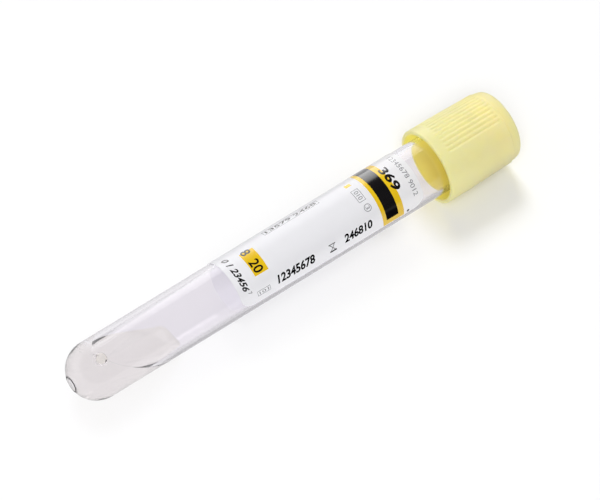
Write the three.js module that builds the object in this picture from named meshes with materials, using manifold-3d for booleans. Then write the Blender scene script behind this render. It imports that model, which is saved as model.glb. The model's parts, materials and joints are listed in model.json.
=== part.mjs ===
// A stoppered blood collection tube, lying as it rests on a table. Millimetres, +Z up.
import * as THREE from 'three';
import { mergeVertices } from 'three/addons/utils/BufferGeometryUtils.js';
import Module from 'manifold-3d';

// Tube: everything is placed from the centre of its round end, along +X to the mouth.
const FACETS = 50; // flats round every turned surface, one of them facing straight down
const TUBE_LENGTH = 100; // closed end to mouth
const END_RADIUS = 6.1; // outer radius of the round end
const WALL = 1.05;
const TAPER = 0.00346; // radius gained per millimetre towards the mouth
const LIP_ROUND = 0.3;
const GATE_RADIUS = 1.5; // disc left by the moulding gate, inside a ring groove
const GATE_GROOVE = 0.28;
const GATE_PROUD = 0.04;
const GATE_DEPTH = 0.15;

// Closure: an outer cap with a rubber stopper inside it.
const SKIRT_OVERLAP = 11.85; // how far the cap's open end reaches down past the mouth
const CAP_LENGTH = 19.05;
const CAP_RADIUS = 8.41;
const SKIRT_BORE = 7.4;
const CAP_PLATE = 1.28; // thickness of the top
const CAP_HOLE = 3.8; // radius of the needle hole in the top
const NECK_DROP = 0.22; // step down to the narrower top band
const NECK_FROM = 16.0; // where that step is, from the open end
const BEAD_HEIGHT = 1.4; // ring under the stopper's head
const BEAD_CLEARANCE = 0.2; // ring to tube
const HEAD_CLEARANCE = 0.05; // stopper's head to cap
const HEAD_RADIUS = 7.0;
const PLUG_LENGTH = 6.6;
const PLUG_CLEARANCE = 0.04; // sealing bands to bore
const WELL_RADIUS = 3.25; // needle well in the head
const WELL_DEPTH = 3.1;
const HOLLOW_RADIUS = 2.3; // hollow under the plug
const HOLLOW_DEPTH = 3.4;

// Grip: grooves in two opposite sectors of the cap.
const GROOVE_COUNT = 13; // in each sector
const GROOVE_CENTRE = -14.4; // degrees from the top, towards -Y
const GROOVE_FROM = 2.5; // from the open end
const GROOVE_TO = 15.7;
const GROOVE_WIDTH = 0.62;
const GROOVE_DEPTH = 0.32;

// Label: a film wrapped round the tube, leaving a strip of it bare.
const LABEL_FROM = 31.0;
const LABEL_TO = 76.35;
const LABEL_EDGE = 93; // degrees from the top, towards -Y
const LABEL_BARE = 52; // degrees left bare beyond that edge
const LABEL_SKEW = 5; // degrees the wrap drifts over the label's length
const LABEL_CORNER = 3;
const LABEL_GAP = 0.03;
const LABEL_FILM = 0.08;
const LABEL_ROWS = 6; // bands the film is divided into, so that it stays on the flats as it drifts

// Liquid additive held in the round end, with a slumped surface and one bubble.
const LIQUID_GAP = 0.04;
const LIQUID_TOP = [-3.0, 5.8]; // surface curve, [along the tube, height]
const LIQUID_BEND = [7.6, 0.4];
const LIQUID_FOOT = [19.6, -5.8];
const BUBBLE = [0.7, -0.95, 3.5];
const BUBBLE_RADIUS = 1.3;

const STEP = (2 * Math.PI) / FACETS;
const wasm = await Module();
wasm.setup();

const tubeRadius = (x) => END_RADIUS + TAPER * Math.max(x, 0);
const boreRadius = (x) => tubeRadius(x) - WALL;
const gateX = -Math.sqrt(END_RADIUS ** 2 - GATE_RADIUS ** 2) - GATE_PROUD;
const mouthX = TUBE_LENGTH + gateX;
const rimX = mouthX - SKIRT_OVERLAP;
const topX = rimX + CAP_LENGTH;
const plateX = topX - CAP_PLATE;

const rad = (degrees) => (degrees * Math.PI) / 180;

// Points of an arc in the [along, radius] half plane, angles in degrees from +X.
function arc(cx, cr, radius, from, to, steps) {
  return Array.from({ length: steps + 1 }, (_, i) => {
    const a = rad(from + ((to - from) * i) / steps);
    return [cx + radius * Math.cos(a), cr + radius * Math.sin(a)];
  });
}

// Turns an [along, radius] profile about the X axis, with a flat facing down.
function turned(profile, facets = FACETS) {
  const points = profile.map(([x, r]) => new THREE.Vector2(Math.max(r, 0), x));
  const lathe = new THREE.LatheGeometry(points, facets, Math.PI / facets, 2 * Math.PI);
  return clean(lathe.rotateZ(-Math.PI / 2));
}

function clean(geometry) {
  geometry.deleteAttribute('normal');
  geometry.deleteAttribute('uv');
  const merged = mergeVertices(geometry, 1e-5);
  const keep = [];
  const index = merged.index.array;
  for (let i = 0; i < index.length; i += 3) {
    const [a, b, c] = [index[i], index[i + 1], index[i + 2]];
    if (a !== b && b !== c && c !== a) keep.push(a, b, c);
  }
  merged.setIndex(keep);
  return merged;
}

function toSolid(geometry) {
  return new wasm.Manifold(new wasm.Mesh({
    numProp: 3,
    vertProperties: new Float32Array(geometry.attributes.position.array),
    triVerts: new Uint32Array(geometry.index.array),
  }));
}

function fromSolid(solid) {
  const mesh = solid.getMesh();
  const geometry = new THREE.BufferGeometry();
  geometry.setAttribute('position', new THREE.BufferAttribute(mesh.vertProperties, 3));
  geometry.setIndex(new THREE.BufferAttribute(mesh.triVerts, 1));
  return geometry;
}

function tubeGeometry() {
  const groove = GATE_RADIUS + GATE_GROOVE;
  const grooveLip = 180 - (Math.asin(groove / END_RADIUS) * 180) / Math.PI;
  const mouth = tubeRadius(mouthX);
  const bore = boreRadius(mouthX);
  const inner = END_RADIUS - WALL;
  return turned([
    [gateX, 0],
    [gateX, GATE_RADIUS],
    [gateX + GATE_DEPTH, GATE_RADIUS + 0.05],
    [gateX + GATE_DEPTH, groove - 0.05],
    ...arc(0, 0, END_RADIUS, grooveLip, 90, 9),
    ...arc(mouthX - LIP_ROUND, mouth - LIP_ROUND, LIP_ROUND, 90, 0, 2),
    ...arc(mouthX - LIP_ROUND, bore + LIP_ROUND, LIP_ROUND, 0, -90, 2),
    ...arc(0, 0, inner, 90, 180, 9),
  ]);
}

function capGeometry() {
  const at = (fromRim, drop) => [rimX + fromRim, CAP_RADIUS - drop];
  const neck = 0.21 + NECK_DROP;
  const bead = tubeRadius(mouthX) + BEAD_CLEARANCE;
  const headBore = HEAD_RADIUS + HEAD_CLEARANCE;
  const outside = [
    at(0, CAP_RADIUS - SKIRT_BORE - 0.2),
    at(0, 0.2),
    at(0.07, 0.07),
    at(0.25, 0),
    at(GROOVE_FROM - 0.5, 0),
    at(5.5, 0),
    at(8.4, 0.05),
    at(10.6, 0.12),
    at(12.8, 0.16),
    at(NECK_FROM - 1, 0.195),
    at(NECK_FROM, 0.22),
    at(NECK_FROM + 0.12, neck - 0.05),
    at(NECK_FROM + 0.3, neck),
    at(17.2, neck + 0.05),
    at(CAP_LENGTH - 1.15, neck + 0.18),
    at(CAP_LENGTH - 0.75, neck + 0.34),
    at(CAP_LENGTH - 0.38, neck + 0.65),
    at(CAP_LENGTH - 0.12, neck + 1.06),
    at(CAP_LENGTH, neck + 1.6),
  ];
  const inside = [
    [topX, CAP_HOLE + 0.25],
    [topX - 0.25, CAP_HOLE],
    [plateX, CAP_HOLE],
    [plateX, headBore],
    [mouthX - 0.02, headBore],
    [mouthX - 0.02, bead],
    [mouthX - BEAD_HEIGHT, bead],
    [mouthX - BEAD_HEIGHT - 0.8, SKIRT_BORE],
    [rimX + 0.2, SKIRT_BORE],
  ];
  let cap = toSolid(turned([...outside, ...inside, outside[0]]));
  for (const sector of [GROOVE_CENTRE, GROOVE_CENTRE + 180]) {
    for (let i = 0; i < GROOVE_COUNT; i++) {
      const angle = rad(sector) + (i - (GROOVE_COUNT - 1) / 2) * STEP;
      cap = cap.subtract(toSolid(grooveCutter(angle)));
    }
  }
  return fromSolid(cap);
}

// A V-shaped groove with sloping ends, its floor line following the cap's own slope.
function grooveCutter(angle) {
  const high = CAP_RADIUS + 0.4;
  const wide = (GROOVE_WIDTH / 2) * (1 + 0.4 / GROOVE_DEPTH);
  const start = rimX + GROOVE_FROM;
  const end = rimX + GROOVE_TO;
  const run = 2 * GROOVE_DEPTH;
  const corners = [
    [start - run, -wide, high],
    [end + run, -wide, high],
    [end + run, wide, high],
    [start - run, wide, high],
    [start + run, 0, CAP_RADIUS - GROOVE_DEPTH],
    [end - run, 0, CAP_RADIUS - 0.18 - GROOVE_DEPTH],
  ];
  const geometry = new THREE.BufferGeometry();
  geometry.setAttribute('position', new THREE.Float32BufferAttribute(corners.flat(), 3));
  geometry.setIndex([0, 1, 2, 0, 2, 3, 0, 4, 5, 0, 5, 1, 1, 5, 2, 2, 5, 4, 2, 4, 3, 3, 4, 0]);
  return geometry.rotateX(angle);
}

function stopperGeometry() {
  const seat = mouthX + 0.03;
  const top = plateX - HEAD_CLEARANCE;
  const foot = seat - PLUG_LENGTH;
  const band = (x) => boreRadius(x) - PLUG_CLEARANCE;
  const waist = band(foot) - 0.35;
  const well = top - WELL_DEPTH;
  const hollow = foot + HOLLOW_DEPTH;
  return turned([
    [hollow, 0],
    [hollow - 0.3, HOLLOW_RADIUS - 0.6],
    [hollow - 1.1, HOLLOW_RADIUS - 0.1],
    [foot, HOLLOW_RADIUS],
    [foot, band(foot) - 0.9],
    [foot + 1.0, band(foot + 1)],
    [foot + 2.0, band(foot + 2)],
    [foot + 2.4, waist],
    [foot + 3.6, waist],
    [foot + 4.0, band(foot + 4)],
    [seat - 0.5, band(seat - 0.5) - 0.02],
    [seat, band(seat) - 0.35],
    [seat, HEAD_RADIUS - 0.2],
    [seat + 0.2, HEAD_RADIUS],
    [top - 0.5, HEAD_RADIUS],
    [top - 0.15, HEAD_RADIUS - 0.15],
    [top, HEAD_RADIUS - 0.5],
    [top, WELL_RADIUS + 0.2],
    [top - 0.2, WELL_RADIUS],
    [well + 0.4, WELL_RADIUS],
    [well + 0.1, WELL_RADIUS - 0.35],
    [well, 0],
  ]);
}

// Radius at an angle on the flats of a turned surface whose ridges have the given radius.
function flatRadius(ridge, angle) {
  const offset = angle - STEP * Math.round(angle / STEP);
  return (ridge * Math.cos(STEP / 2)) / Math.cos(offset);
}

// The film is a ring of columns along the tube; the columns at its two ends shorten into round corners.
function labelGeometry() {
  const first = rad(LABEL_EDGE + LABEL_BARE - 360);
  const last = rad(LABEL_EDGE);
  const middle = (LABEL_FROM + LABEL_TO) / 2;
  const corner = LABEL_CORNER / tubeRadius(middle);
  const angles = [first + corner, last - corner];
  for (let i = 0; i < 6; i++) {
    const part = corner * (1 - Math.cos((i / 6) * (Math.PI / 2)));
    angles.push(first + part, last - part);
  }
  for (let k = -FACETS; k < FACETS; k++) {
    const ridge = (k + 0.5) * STEP;
    if (ridge > first + corner && ridge < last - corner) angles.push(ridge);
  }
  angles.sort((a, b) => a - b);
  const rows = 2 * (LABEL_ROWS + 1); // points in each column, the outer face's after the inner face's
  const positions = [];
  for (const angle of angles) {
    const inside = Math.min(angle - first, last - angle, corner) / corner;
    const trim = LABEL_CORNER * (1 - Math.sqrt(1 - (1 - inside) ** 2));
    for (const lift of [LABEL_GAP, LABEL_GAP + LABEL_FILM]) {
      for (let row = 0; row <= LABEL_ROWS; row++) {
        const x = LABEL_FROM + trim + ((LABEL_TO - LABEL_FROM - 2 * trim) * row) / LABEL_ROWS;
        const skewed = angle + rad(LABEL_SKEW) * ((x - middle) / (LABEL_TO - LABEL_FROM));
        const r = flatRadius(tubeRadius(x) + lift, skewed);
        positions.push(x, -r * Math.sin(skewed), r * Math.cos(skewed));
      }
    }
  }
  const index = [];
  const quad = (a, b, c, d) => index.push(a, b, d, b, c, d);
  const outer = LABEL_ROWS + 1;
  for (let a = 0; a + rows < angles.length * rows; a += rows) {
    const b = a + rows;
    for (let row = 0; row < LABEL_ROWS; row++) {
      quad(a + row, a + row + 1, b + row + 1, b + row);
      quad(a + outer + row + 1, a + outer + row, b + outer + row, b + outer + row + 1);
    }
    quad(a, b, b + outer, a + outer);
    quad(a + rows - 1, b + rows - 1, b + LABEL_ROWS, a + LABEL_ROWS);
  }
  const end = (angles.length - 1) * rows;
  for (let row = 0; row < LABEL_ROWS; row++) {
    quad(row, row + outer, row + outer + 1, row + 1);
    quad(end + row, end + row + 1, end + row + outer + 1, end + row + outer);
  }
  const geometry = new THREE.BufferGeometry();
  geometry.setAttribute('position', new THREE.Float32BufferAttribute(positions, 3));
  geometry.setIndex(index);
  return geometry;
}

function liquidGeometry() {
  const radius = END_RADIUS - WALL - LIQUID_GAP;
  const reach = LIQUID_FOOT[0] + 4;
  const fill = turned([
    ...arc(0, 0, radius, 180, 90, 10),
    [reach, boreRadius(reach) - LIQUID_GAP],
    [reach, 0],
  ]);
  const surface = new THREE.QuadraticBezierCurve(
    new THREE.Vector2(...LIQUID_TOP), new THREE.Vector2(...LIQUID_BEND), new THREE.Vector2(...LIQUID_FOOT),
  );
  const side = new THREE.Shape([
    new THREE.Vector2(-2 * END_RADIUS, LIQUID_TOP[1]),
    new THREE.Vector2(-2 * END_RADIUS, -2 * END_RADIUS),
    new THREE.Vector2(LIQUID_FOOT[0], -2 * END_RADIUS),
    ...surface.getPoints(14).reverse(),
  ]);
  const block = new THREE.ExtrudeGeometry(side, { depth: 4 * END_RADIUS, bevelEnabled: false });
  block.rotateX(Math.PI / 2).translate(0, 2 * END_RADIUS, 0);
  const bubble = turned(arc(0, 0, BUBBLE_RADIUS, 180, 0, 8), 16).translate(...BUBBLE);
  const liquid = toSolid(fill).intersect(toSolid(clean(block))).subtract(toSolid(bubble));
  return fromSolid(liquid);
}

function piece(name, geometry, look) {
  geometry.computeVertexNormals();
  const mesh = new THREE.Mesh(geometry, new THREE.MeshStandardMaterial({ flatShading: true, ...look }));
  mesh.name = name;
  return mesh;
}

const part = new THREE.Group();
part.name = 'blood_collection_tube';
part.add(
  piece('tube', tubeGeometry(), { color: '#e3e1e8', roughness: 0.05, transparent: true, opacity: 0.35 }),
  piece('cap', capGeometry(), { color: '#ebe39b', roughness: 0.45 }),
  piece('stopper', stopperGeometry(), { color: '#ddc067', roughness: 0.7 }),
  piece('label', labelGeometry(), { color: '#ececf2', roughness: 0.5 }),
  piece('additive', liquidGeometry(), { color: '#ddd8d2', roughness: 0.05, transparent: true, opacity: 0.4 }),
);

// It lies on its round end and on the rim of the cap, so the mouth end is tilted up a little.
const contact = Math.hypot(rimX + 0.25, CAP_RADIUS);
part.rotation.y = Math.asin(END_RADIUS / contact) - Math.atan2(CAP_RADIUS, rimX + 0.25);
part.updateMatrixWorld(true);
const bounds = new THREE.Box3().setFromObject(part, true);
const middle = bounds.getCenter(new THREE.Vector3());
part.position.set(-middle.x, -middle.y, -bounds.min.z);
part.updateMatrixWorld(true);

export default part;
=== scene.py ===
"""Dresses the blood collection tube: the clear tube, its printed label, the additive and the stoppered cap.

Every piece is built in the tube's own coordinates, in millimetres, with x along the tube from the centre of
its round end towards the mouth. Angles round the tube are measured from the top, towards -Y. A piece is then
placed in the row frame, in metres.
"""

from __future__ import annotations

import json
import logging
import math
from dataclasses import dataclass, field
from enum import Enum
from typing import Callable, Sequence

import bmesh
import bpy
from mathutils import Matrix, Vector
from mathutils.geometry import interpolate_bezier

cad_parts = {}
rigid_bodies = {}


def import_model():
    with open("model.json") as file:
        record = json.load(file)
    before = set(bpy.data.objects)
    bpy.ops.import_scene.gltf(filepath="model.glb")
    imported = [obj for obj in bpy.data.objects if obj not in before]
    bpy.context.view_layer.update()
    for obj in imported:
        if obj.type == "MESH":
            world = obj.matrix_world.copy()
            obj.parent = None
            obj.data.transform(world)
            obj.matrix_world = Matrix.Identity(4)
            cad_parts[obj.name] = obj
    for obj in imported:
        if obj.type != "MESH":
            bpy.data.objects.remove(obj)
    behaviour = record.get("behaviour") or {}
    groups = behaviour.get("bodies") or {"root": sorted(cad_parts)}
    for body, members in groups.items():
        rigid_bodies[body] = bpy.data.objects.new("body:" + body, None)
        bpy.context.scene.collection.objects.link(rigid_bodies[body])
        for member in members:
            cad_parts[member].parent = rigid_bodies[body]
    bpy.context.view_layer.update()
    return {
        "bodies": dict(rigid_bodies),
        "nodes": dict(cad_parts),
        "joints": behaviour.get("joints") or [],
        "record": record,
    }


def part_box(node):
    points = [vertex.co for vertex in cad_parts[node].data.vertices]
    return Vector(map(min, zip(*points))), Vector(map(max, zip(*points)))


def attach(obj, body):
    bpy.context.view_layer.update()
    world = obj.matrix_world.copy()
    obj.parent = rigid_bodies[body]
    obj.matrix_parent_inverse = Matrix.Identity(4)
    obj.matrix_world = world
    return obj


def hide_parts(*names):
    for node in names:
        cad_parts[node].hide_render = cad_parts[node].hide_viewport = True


MM = 0.001
log = logging.getLogger("blood_collection_tube")

Colour = tuple[float, float, float, float]
Profile = list[tuple[float, float]]
Box = tuple[float, float, float, float]
Fade = tuple[tuple[float, float], tuple[float, float]]  # two points of a ramp, each (millimetres, output)
Socket = bpy.types.NodeSocket
Piece = bpy.types.Object
BMesh = bmesh.types.BMesh


class Body(Enum):
    """The CAD bodies that pieces ride on."""

    TUBE = "tube_body"
    CLOSURE = "closure"


class Reading(Enum):
    """Which way a mark on the label reads."""

    ALONG = "along the tube, towards the cap"
    AROUND = "round the tube, from the top towards -Y"


# ------------------------------------------------------------ placing and shaping


@dataclass(frozen=True)
class TubeAxis:
    """The tilted line that the tube, label and closure are turned about."""

    start: Vector
    along: Vector

    # Centre of the round end, from the lowest corner of the tube's box, in millimetres.
    END_OFFSET = (5.992, 6.086)

    @classmethod
    def from_frame(cls, frame: dict) -> TubeAxis:
        """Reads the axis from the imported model.


        Returns:
            The axis, in the row frame.
        """
        low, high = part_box("tube")
        dx, dz = cls.END_OFFSET
        start = Vector((low[0] + dx * MM, (low[1] + high[1]) / 2, low[2] + dz * MM))
        return cls(start, Vector(frame["joints"][0]["axis"]).normalized())

    def matrix(self) -> Matrix:
        """Returns the matrix from tube coordinates in millimetres to the row frame in metres."""
        side = Vector((0, 1, 0))
        up = self.along.cross(side)
        turn = Matrix((self.along, side, up)).transposed().to_4x4()
        return Matrix.Translation(self.start) @ turn @ Matrix.Scale(MM, 4)


def arc(cx: float, cr: float, radius: float, start: float, end: float, steps: int) -> Profile:
    """Points of an arc in the half plane of a turned profile.

    Args:
        cx: Centre, along the axis.
        cr: Centre, distance from the axis.
        radius: The arc's radius.
        start: First angle in degrees, measured from the axis's own direction.
        end: Last angle in degrees.
        steps: How many chords the arc has.

    Returns:
        The points, first to last.
    """
    angles = [math.radians(start + (end - start) * i / steps) for i in range(steps + 1)]
    return [(cx + radius * math.cos(a), cr + radius * math.sin(a)) for a in angles]


def lathe(profile: Profile, steps: int, closed: bool = False) -> BMesh:
    """Turns a profile a full circle about the x axis.

    Args:
        profile: Points as (along, radius).
        steps: Facets round the axis.
        closed: Joins the last point to the first, for a ring with a hole through it.

    Returns:
        A closed mesh with its faces pointing out.
    """
    bm = bmesh.new()
    verts = [bm.verts.new((x, 0, max(r, 0.0))) for x, r in profile]
    pairs = list(zip(verts, verts[1:])) + ([(verts[-1], verts[0])] if closed else [])
    edges = [bm.edges.new(pair) for pair in pairs]
    bmesh.ops.spin(
        bm, geom=verts + edges, cent=(0, 0, 0), axis=(1, 0, 0), angle=math.tau, steps=steps, use_merge=True
    )
    bmesh.ops.remove_doubles(bm, verts=bm.verts, dist=1e-4)
    bmesh.ops.recalc_face_normals(bm, faces=bm.faces)
    return bm


def as_object(name: str, bm: BMesh, axis: TubeAxis, sharp: float = 35.0) -> Piece:
    """Places a mesh built in tube coordinates and makes it an object.

    Args:
        name: The object's name.
        bm: The mesh, which is freed.
        axis: Where the tube lies.
        sharp: Edges bent by more than this many degrees stay sharp.

    Returns:
        The object, at the origin, with its place in its mesh.
    """
    bm.transform(axis.matrix())
    mesh = bpy.data.meshes.new(name)
    bm.to_mesh(mesh)
    bm.free()
    mesh.shade_smooth()
    mesh.set_sharp_from_angle(angle=math.radians(sharp))
    obj = bpy.data.objects.new(name, mesh)
    bpy.context.scene.collection.objects.link(obj)
    return obj


def bake_modifiers(obj: Piece) -> None:
    """Replaces an object's mesh with what its modifiers make of it, and drops the modifiers."""
    graph = bpy.context.evaluated_depsgraph_get()
    mesh = bpy.data.meshes.new_from_object(obj.evaluated_get(graph))
    obj.modifiers.clear()
    obj.data = mesh


def smooth_step(value: float, low: float, high: float) -> float:
    """Returns 0 below low, 1 above high and a smooth ramp between them."""
    t = min(max((value - low) / (high - low), 0.0), 1.0)
    return t * t * (3 - 2 * t)


# ------------------------------------------------------------ shader helpers


class NodeSheet:
    """A node tree with short ways to add and join nodes."""

    def __init__(self, tree: bpy.types.NodeTree) -> None:
        """Wraps an existing tree."""
        self.tree = tree

    def add(self, kind: str, values: dict | None = None, **settings: object) -> bpy.types.Node:
        """Adds a node.

        Args:
            kind: The node's type name.
            values: Input values by socket name or index.
            settings: Properties of the node itself.

        Returns:
            The new node.
        """
        node = self.tree.nodes.new(kind)
        for name, value in settings.items():
            setattr(node, name, value)
        for socket, value in (values or {}).items():
            node.inputs[socket].default_value = value
        return node

    def join(self, source: Socket, target: Socket) -> None:
        """Links an output to an input."""
        self.tree.links.new(source, target)

    def feed(self, node: bpy.types.Node, values: Sequence[object]) -> Socket:
        """Gives a node's first inputs a socket or a number each, and returns its first output."""
        for socket, value in zip(node.inputs, values):
            if isinstance(value, Socket):
                self.join(value, socket)
            else:
                socket.default_value = value
        return node.outputs[0]

    def math(self, operation: str, first: object, second: object = 0.0) -> Socket:
        """Adds a maths node on two sockets or numbers and returns its output."""
        return self.feed(self.add("ShaderNodeMath", operation=operation), (first, second))

    def product(self, first: object, *others: object) -> Socket:
        """Multiplies sockets or numbers together and returns the output."""
        for other in others:
            first = self.math("MULTIPLY", first, other)
        return first

    def mix(self, share: object, first: Socket, second: Socket) -> Socket:
        """Mixes two shaders by a socket or a number and returns the shader."""
        return self.feed(self.add("ShaderNodeMixShader"), (share, first, second))

    def split(self, vector: Socket) -> dict[str, Socket]:
        """Returns the parts of a vector by the names X, Y and Z."""
        node = self.add("ShaderNodeSeparateXYZ")
        self.join(vector, node.inputs[0])
        return {output.name: output for output in node.outputs}

    def length(self, vector: Socket) -> Socket:
        """Returns the length of a vector."""
        node = self.add("ShaderNodeVectorMath", operation="LENGTH")
        self.join(vector, node.inputs[0])
        return node.outputs["Value"]

    def blend(self, factor: Socket, low: Colour, high: Colour) -> Socket:
        """Mixes two colours by a mask and returns the colour."""
        node = self.add("ShaderNodeMix", data_type="RGBA")
        node.inputs[6].default_value = low
        node.inputs[7].default_value = high
        self.join(factor, node.inputs[0])
        return node.outputs[2]

    def ramp(self, value: Socket, low: tuple[float, float], high: tuple[float, float]) -> Socket:
        """Maps a value between two points, each (input, output), clamped, and returns the output."""
        values = {"From Min": low[0], "To Min": low[1], "From Max": high[0], "To Max": high[1]}
        node = self.add("ShaderNodeMapRange", values)
        self.join(value, node.inputs["Value"])
        return node.outputs["Result"]

    def fade(self, distance: Socket, points: Fade) -> Socket:
        """Maps a distance between two points given in millimetres, clamped, and returns the output."""
        (near, first), (far, last) = points
        return self.ramp(distance, (near * MM, first), (far * MM, last))


@dataclass(frozen=True)
class GroupSocket:
    """One input or output of a node group."""

    name: str
    kind: str = "NodeSocketFloat"
    output: bool = False
    default: float | None = None


def node_group(name: str, sockets: Sequence[GroupSocket], build: Callable) -> bpy.types.NodeTree:
    """Makes a node group once and hands back the same one after that.

    Args:
        name: The group's name.
        sockets: Its inputs and outputs.
        build: Called with the sheet, the group's input node and its output node.

    Returns:
        The group's node tree.
    """
    if name in bpy.data.node_groups:
        return bpy.data.node_groups[name]
    tree = bpy.data.node_groups.new(name, "ShaderNodeTree")
    for socket in sockets:
        way = "OUTPUT" if socket.output else "INPUT"
        made = tree.interface.new_socket(socket.name, in_out=way, socket_type=socket.kind)
        if socket.default is not None:
            made.default_value = socket.default
    sheet = NodeSheet(tree)
    build(sheet, sheet.add("NodeGroupInput"), sheet.add("NodeGroupOutput"))
    return tree


def moulded_grain() -> bpy.types.NodeTree:
    """The fine skin of a moulded or rolled surface: a height for bump and a slow change of tone."""

    def build(sheet: NodeSheet, inside: bpy.types.Node, outside: bpy.types.Node) -> None:
        fine = sheet.add("ShaderNodeTexNoise", {"Detail": 3.0, "Roughness": 0.6})
        broad = sheet.add("ShaderNodeTexNoise", {"Detail": 2.0, "Roughness": 0.5})
        for node, scale in ((fine, "Fine Scale"), (broad, "Broad Scale")):
            sheet.join(inside.outputs["Vector"], node.inputs["Vector"])
            sheet.join(inside.outputs[scale], node.inputs["Scale"])
        height = sheet.math("ADD", sheet.math("MULTIPLY", broad.outputs["Fac"], 0.35), fine.outputs["Fac"])
        sheet.join(height, outside.inputs["Height"])
        sheet.join(sheet.ramp(broad.outputs["Fac"], (0.35, 0.0), (0.65, 1.0)), outside.inputs["Tone"])

    sockets = (
        GroupSocket("Vector", "NodeSocketVector"),
        GroupSocket("Fine Scale", default=9000.0),
        GroupSocket("Broad Scale", default=400.0),
        GroupSocket("Height", output=True),
        GroupSocket("Tone", output=True),
    )
    return node_group("moulded grain", sockets, build)


def handling_marks() -> bpy.types.NodeTree:
    """Thin rubbed streaks and specks that handling leaves: a mask from 0 to 1."""

    def build(sheet: NodeSheet, inside: bpy.types.Node, outside: bpy.types.Node) -> None:
        stretch = sheet.add("ShaderNodeMapping", {"Scale": (1.0, 7.0, 7.0)})
        streaks = sheet.add("ShaderNodeTexNoise", {"Detail": 6.0, "Roughness": 0.7})
        specks = sheet.add("ShaderNodeTexNoise", {"Detail": 1.0})
        sheet.join(inside.outputs["Vector"], stretch.inputs["Vector"])
        sheet.join(stretch.outputs["Vector"], streaks.inputs["Vector"])
        sheet.join(inside.outputs["Vector"], specks.inputs["Vector"])
        sheet.join(inside.outputs["Scale"], streaks.inputs["Scale"])
        sheet.join(sheet.math("MULTIPLY", inside.outputs["Scale"], 6.0), specks.inputs["Scale"])
        streak = sheet.ramp(streaks.outputs["Fac"], (0.6, 0.0), (0.75, 1.0))
        speck = sheet.ramp(specks.outputs["Fac"], (0.7, 0.0), (0.78, 1.0))
        both = sheet.math("MULTIPLY", sheet.math("MAXIMUM", streak, speck), inside.outputs["Amount"])
        sheet.join(both, outside.inputs["Mask"])

    sockets = (
        GroupSocket("Vector", "NodeSocketVector"),
        GroupSocket("Scale", default=120.0),
        GroupSocket("Amount", default=1.0),
        GroupSocket("Mask", output=True),
    )
    return node_group("handling marks", sockets, build)


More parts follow.
